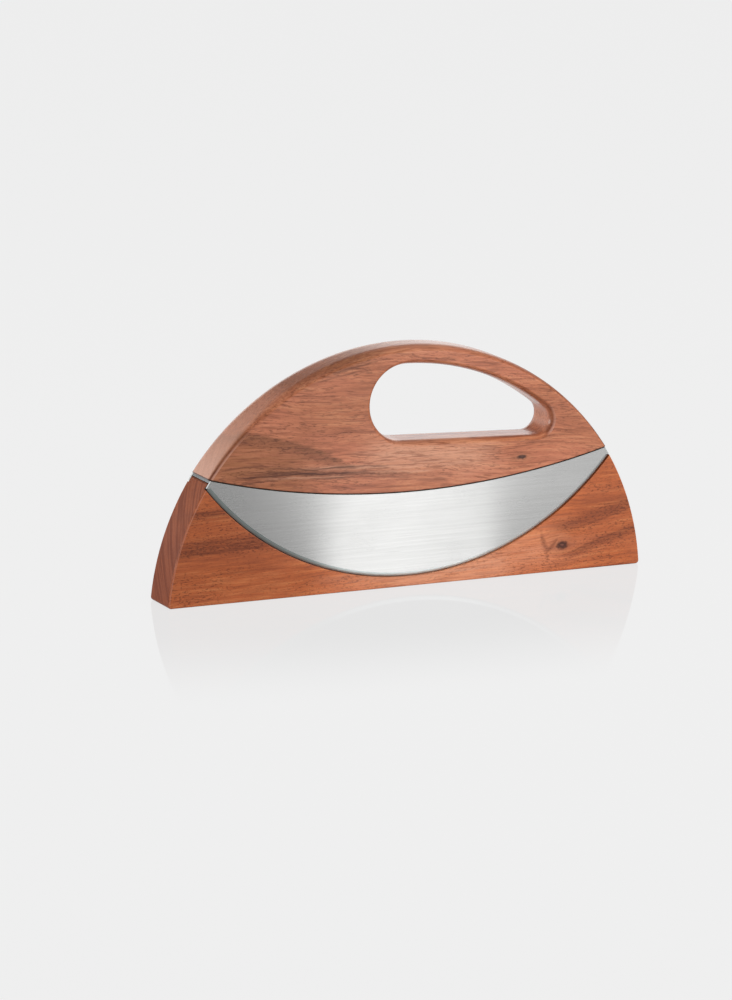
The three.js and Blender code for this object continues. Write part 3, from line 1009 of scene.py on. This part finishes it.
# blades and the plate that bridges them

blades = {
    "bevelWidth": 2.2,
    "edgeLand": 0.2,
    "tipRound": 1.2,
    "arris": 0.12,
    "edgeSteps": 320, "noseSteps": 14, "sideSteps": 6, "topSteps": 200,
    "sharpDegrees": 15,
    "bevelFacing": (0.3, 0.97),  # how squarely the ground faces look out
}


def bladeOutline():
    # each point holds x, z, the way out, and how far it is ground
    fillet, noseSteps = blades["tipRound"], blades["noseSteps"]
    corner = circlesCross(discCentre, tipRadius - fillet, cuttingCentre, cuttingRadius - fillet)
    end = circlesCross(discCentre, tipRadius, jointCentre, bridgeTop)
    edgeEnd = angleFrom((0, cuttingCentre), corner)
    tipStart = angleFrom((0, discCentre), corner)
    tipStop = angleFrom((0, discCentre), end)
    topStart = angleFrom((0, jointCentre), end)
    edge = arcPoints((0, cuttingCentre), cuttingRadius, -math.pi - edgeEnd, edgeEnd, blades["edgeSteps"])
    nose = arcPoints(corner, fillet, edgeEnd, tipStart, noseSteps)
    nose = [p + (1 - easeBetween(0, noseSteps, i),) for i, p in enumerate(nose)][1:]
    side = arcPoints((0, discCentre), tipRadius, tipStart, tipStop, blades["sideSteps"])[1:-1]
    side.append(mitred(end, wayAt(tipStop), wayAt(topStart, -1)))
    right = nose + [p + (0.0,) for p in side]
    top = arcPoints((0, jointCentre), bridgeTop, topStart, -math.pi - topStart, blades["topSteps"], -1)[1:-1]
    return [p + (1.0,) for p in edge] + right + [p + (0.0,) for p in top] + mirrored(right)


def bladeMesh(name, facing):
    arris, thick = blades["arris"], outline["bladeThickness"]
    inner = halfDepth - thick
    points = bladeOutline()
    rings = []
    for level in range(4):
        ring = []
        for x, z, outX, outZ, ground in points:
            inset = (arris, 0.0, 0.0, mixOf(arris, blades["bevelWidth"], ground))[level]
            rise = (0.0, arris, mixOf(thick - arris, blades["edgeLand"], ground), thick)[level]
            ring.append((x - outX * inset, facing * (inner + rise), z - outZ * inset))
        rings.append(ring)
    return lofted(name, rings, True)


for node, name, facing in (("front_blade", "front-blade", -1), ("rear_blade", "rear-blade", 1)):
    blade = bladeMesh(name, facing)
    placed(blade, node, "knife", bladeSteel, blades["sharpDegrees"])
    blade.data.materials.append(groundSteel)
    slanting, square = blades["bevelFacing"]
    for face in blade.data.polygons:
        face.material_index = int(slanting < abs(face.normal.y) < square)
print("blades built, cutting radius %.2f" % cuttingRadius)

bridge = {
    "arris": 0.1,
    "steps": 200,
    "sharpDegrees": 30,
}


def bridgeMesh():
    lowEnd = circlesCross(discCentre, tipRadius, jointCentre, bridgeUnder)
    highEnd = circlesCross(discCentre, tipRadius, jointCentre, bridgeTop)
    centre, steps, arris = (0, jointCentre), bridge["steps"], bridge["arris"]
    low, high = angleFrom(centre, lowEnd), angleFrom(centre, highEnd)
    endOut = wayAt(angleFrom((0, discCentre), highEnd))
    under = arcPoints(centre, bridgeUnder, -math.pi - low, low, steps)[1:-1]
    over = arcPoints(centre, bridgeTop, high, -math.pi - high, steps, -1)[1:-1]
    right = [mitred(lowEnd, wayAt(low), endOut), mitred(highEnd, endOut, wayAt(high, -1))]
    points = under + right + over + mirrored(right)
    half = halfDepth - outline["bladeThickness"]
    rings = []
    for inset, y in ((arris, -half), (0, arris - half), (0, half - arris), (arris, half)):
        rings.append([(x - outX * inset, y, z - outZ * inset) for x, z, outX, outZ in points])
    return lofted("blade-bridge", rings, True)


bridgePiece = bridgeMesh()
carve(bridgePiece, [screwRoom(p) for p in places])
placed(bridgePiece, "blade_bridge", "knife", bridgeSteel, bridge["sharpDegrees"])
print("bridge built")


# storage block

block = {
    "edgeRound": 1.0,
    "baseCorner": 2.0,
    "shoulderRound": 0.7,
    "pocketClearance": 0.4,
    "pocketArris": 0.35,
    "pocketFillet": [(0.3, 0.0), (0.08, 0.08), (0.0, 0.3)],  # in from the wall, out from the floor
    "baseSteps": 60, "cornerSteps": 12, "rimSteps": 90, "shoulderSteps": 8, "saddleSteps": 220,
    "rollSteps": 6, "arrisSteps": 5, "pocketSegments": 720, "sharpDegrees": 38,
}


def blockRim():
    radius, baseRound, cornerRound = outline["radius"], block["baseCorner"], block["shoulderRound"]
    cornerX = math.sqrt((radius - baseRound) ** 2 - (baseRound - discCentre) ** 2)
    corner = (cornerX, baseRound)
    cornerEnd = angleFrom((0, discCentre), corner)
    shoulder = circlesCross(discCentre, radius - cornerRound, jointCentre, saddleRadius + cornerRound)
    shoulderStart = angleFrom((0, discCentre), shoulder)
    shoulderEnd = angleFrom(shoulder, (0, jointCentre))
    saddleStart = shoulderEnd - math.pi
    steps = block["baseSteps"]
    points = [(mixOf(-cornerX, cornerX, i / steps), 0.0, 0.0, -1.0) for i in range(1, steps)]
    right = arcPoints(corner, baseRound, -math.pi / 2, cornerEnd, block["cornerSteps"])
    right += arcPoints((0, discCentre), radius, cornerEnd, shoulderStart, block["rimSteps"])[1:]
    right += arcPoints(shoulder, cornerRound, shoulderStart, shoulderEnd, block["shoulderSteps"])[1:]
    points += right
    points += arcPoints((0, jointCentre), saddleRadius, saddleStart, -math.pi - saddleStart,
                        block["saddleSteps"], -1)[1:-1]
    return [p + (block["edgeRound"], block["edgeRound"]) for p in points + mirrored(right)]


def pocketTool(facing):
    # turned about the cutting arc's axis, with a flared mouth
    floor = halfDepth - outline["bladeThickness"] - block["pocketClearance"]
    arris, face = block["pocketArris"], halfDepth + toolReach
    profile = [(0, floor)] + [(pocketRadius - back, floor + out) for back, out in block["pocketFillet"]]
    for turn in arrisTurns(block["arrisSteps"]):
        back, out = arris * (1 - math.cos(turn)), arris * (1 - math.sin(turn))
        profile.append((pocketRadius + back, halfDepth - out))
    profile += [(pocketRadius + arris + toolReach, face), (0, face)]
    tool = turned("pocket tool", profile, block["pocketSegments"])
    lay = Matrix.Rotation(math.radians(90 if facing < 0 else -90), 4, "X")
    tool.data.transform(Matrix.Translation((0, 0, cuttingCentre * mm)) @ lay)
    return tool


blockPiece = rolledPlate("storage-block", [blockRim()], block["rollSteps"])
carve(blockPiece, [pocketTool(-1), pocketTool(1)])
placed(blockPiece, "storage_block", "block", blockWood, block["sharpDegrees"])
print("block built:", len(blockPiece.data.polygons), "faces")


# studio

studio = {
    "paleTone": 0.86,
    "floorSize": 14000.0,
    "floorDiffuse": 0.05,
    "floorGlow": 0.835,
    "floorGloss": 0.062,
    "floorRoughness": 0.03,
    "glossFade": (80.0, 240.0),  # away from the block
    "worldFill": 0.28,
    "backTone": 1.5,
    "darkTone": 0.12,
    "backSide": (-0.3, 0.3), "backTop": (0.28, 0.42),  # where the pale backdrop begins and ends
    # a glow painted on the floor in front, seen only in reflections, in strips that fan out from a point
    # behind the blade
    "reflectedGlowFan": (-1256.7, 2437.0),
    # how the strips differ from the floor, along the blade: from, to, change
    "reflectedGlowSteps": [(-180.0, -150.0, -0.34), (-115.0, -68.0, 0.25), (-68.0, -42.0, 1.3),
                  (-15.0, 48.0, -0.2), (46.0, 66.0, -0.87), (150.0, 180.0, -0.14)],
}


def rayKinds(tree):
    path = tree.nodes.new("ShaderNodeLightPath").outputs
    rays = {kind: Wire(tree, path["Is %s Ray" % kind]) for kind in ("Camera", "Glossy", "Transmission")}
    rays["Seen"] = largest(*rays.values())
    return rays


def reflectedGlow(place):
    # only reflections see this glow, a painted reflection for the steel
    x, y, z = splitUp(place)
    fanX, fanY = studio["reflectedGlowFan"]
    along = (x - fanX) * (fanY + halfDepth) / (fanY - y) + fanX
    change = easeAt(along, *studio["reflectedGlowSteps"][0][:2], 0.0, studio["reflectedGlowSteps"][0][2])
    for low, high, step in studio["reflectedGlowSteps"][1:]:
        change = change + easeAt(along, low, high, 0.0, step)
    return change * calc("LESS_THAN", y, -halfDepth) + studio["floorGlow"]


def floorMaterial():
    material, shader, place = newMaterial("pale floor")
    tree = material.node_tree
    tree.nodes.remove(shader)
    rays = rayKinds(tree)
    away = lengthOf(place * (0.5, 1.0, 0.0))
    polish = easeAt(away, *studio["glossFade"], studio["floorGloss"], 0.0)
    plain = studio["floorGlow"] - polish * (studio["backTone"] - studio["floorGlow"])
    strength = (reflectedGlow(place) - plain) * rays["Glossy"] + plain
    matt = newNode(tree, "BsdfDiffuse", {"Color": grey(studio["floorDiffuse"])})
    glow = newNode(tree, "Emission", {"Color": grey(1.0), "Strength": strength})
    pale = newNode(tree, "AddShader", {0: matt, 1: glow})
    gloss = newNode(tree, "BsdfGlossy", {"Color": grey(1.0), "Roughness": studio["floorRoughness"]})
    shiny = newNode(tree, "MixShader", {0: polish, 1: pale, 2: gloss})
    bounce = newNode(tree, "BsdfDiffuse", {"Color": grey(studio["paleTone"])})
    surface = newNode(tree, "MixShader", {0: rays["Seen"], 1: bounce, 2: shiny})
    feed(tree.nodes["Material Output"].inputs, {"Surface": surface})
    material.cycles.emission_sampling = "NONE"  # the glow is only for show
    return material


def buildFloor():
    bm = bmesh.new()
    bmesh.ops.create_grid(bm, x_segments=8, y_segments=8, size=studio["floorSize"] / 2 * mm)
    floor = pieceFrom(bm, "floor")
    floor.data.materials.append(floorMaterial())


def buildWorld():
    world = bpy.data.worlds.new("studio")
    bpy.context.scene.world = world
    world.use_nodes = True
    tree = world.node_tree
    rays = rayKinds(tree)
    x, y, z = splitUp(newNode(tree, "TexCoord", {}, "Generated"))
    sweep = easeAt(y, *studio["backSide"]) * fadeAt(z, *studio["backTop"])
    shade = easeAt(sweep, 0.0, 1.0, studio["darkTone"], studio["backTone"])
    shade = (studio["paleTone"] - shade) * rays["Camera"] + shade
    fill = (1.0 - rays["Seen"]) * studio["worldFill"]
    feed(tree.nodes["Background"].inputs, {"Color": grey(1.0), "Strength": shade * rays["Seen"] + fill})


def panel(name, place, target, width, height, radiance, onlyOn):
    data = bpy.data.lights.new(name, "AREA")
    data.shape = "RECTANGLE"
    data.size, data.size_y = width, height
    data.energy = radiance * math.pi * width * height
    lamp = bpy.data.objects.new(name, data)
    lamp.location = place
    lamp.rotation_euler = (Vector(place) - Vector(target)).to_track_quat("Z", "Y").to_euler()
    lamp.visible_camera = False
    lamp.light_linking.receiver_collection = onlyOn
    bpy.context.scene.collection.objects.link(lamp)


# in metres: name, place, target, width, height, radiance, and what it lights
lamps = [
    ("key", (0.62, -0.68, 0.5), (0.02, 0, 0.06), 0.8, 0.8, 4.6, "rest"),
    ("front", (-0.36, -1.1, 0.26), (-0.02, 0, 0.05), 0.5, 0.5, 2.0, "edges"),
    ("rim", (-1.2, 0.5, 0.24), (0, 0, 0.05), 0.5, 0.4, 18.0, "edges"),
    ("top", (0.05, -0.15, 1.25), (0, 0, 0.06), 0.8, 0.8, 0.4, "rest"),
    ("overhead", (0.15, -0.3, 1.6), (0, 0, 0), 1.0, 1.0, 3.0, "ground"),
]

buildFloor()
buildWorld()
lit = {share: bpy.data.collections.new("lit " + share) for share in ("rest", "edges", "ground")}
for piece in bpy.data.objects:
    if piece.type != "MESH" or piece == bridgePiece:
        continue
    if piece.name == "floor":
        lit["ground"].objects.link(piece)
        continue
    lit["edges"].objects.link(piece)
    if bladeSteel.name not in piece.data.materials:
        lit["rest"].objects.link(piece)
for *lamp, share in lamps:
    panel(*lamp, lit[share])
print("studio lit by", len(lamps), "panels")


# camera, for a picture of 732 by 1000

shot = {
    "azimuth": -26.63,
    "elevation": 12.77,
    "roll": 1.18,
    "target": (-22.21, 0.0, 49.23),
    "distance": 2824.0,
    "lens": 180.0,
    "sensor": 36.0,
}


def buildCamera():
    azimuth, elevation, roll = (math.radians(shot[k]) for k in ("azimuth", "elevation", "roll"))
    level = math.cos(elevation)
    back = Vector((math.sin(azimuth) * level, -math.cos(azimuth) * level, math.sin(elevation)))
    right = (-back).cross(Vector((0, 0, 1))).normalized()
    up = right.cross(-back)
    across = right * math.cos(roll) + up * math.sin(roll)
    upright = up * math.cos(roll) - right * math.sin(roll)
    place = (Vector(shot["target"]) + back * shot["distance"]) * mm
    data = bpy.data.cameras.new("photo camera")
    data.lens = shot["lens"]
    data.sensor_width = shot["sensor"]
    camera = bpy.data.objects.new("photo camera", data)
    bpy.context.scene.collection.objects.link(camera)
    camera.matrix_world = Matrix.Translation(place) @ Matrix((across, upright, back)).transposed().to_4x4()
    bpy.context.scene.camera = camera


buildCamera()
bpy.context.scene.view_settings.view_transform = "Standard"
print("camera set")

bpy.context.view_layer.update()
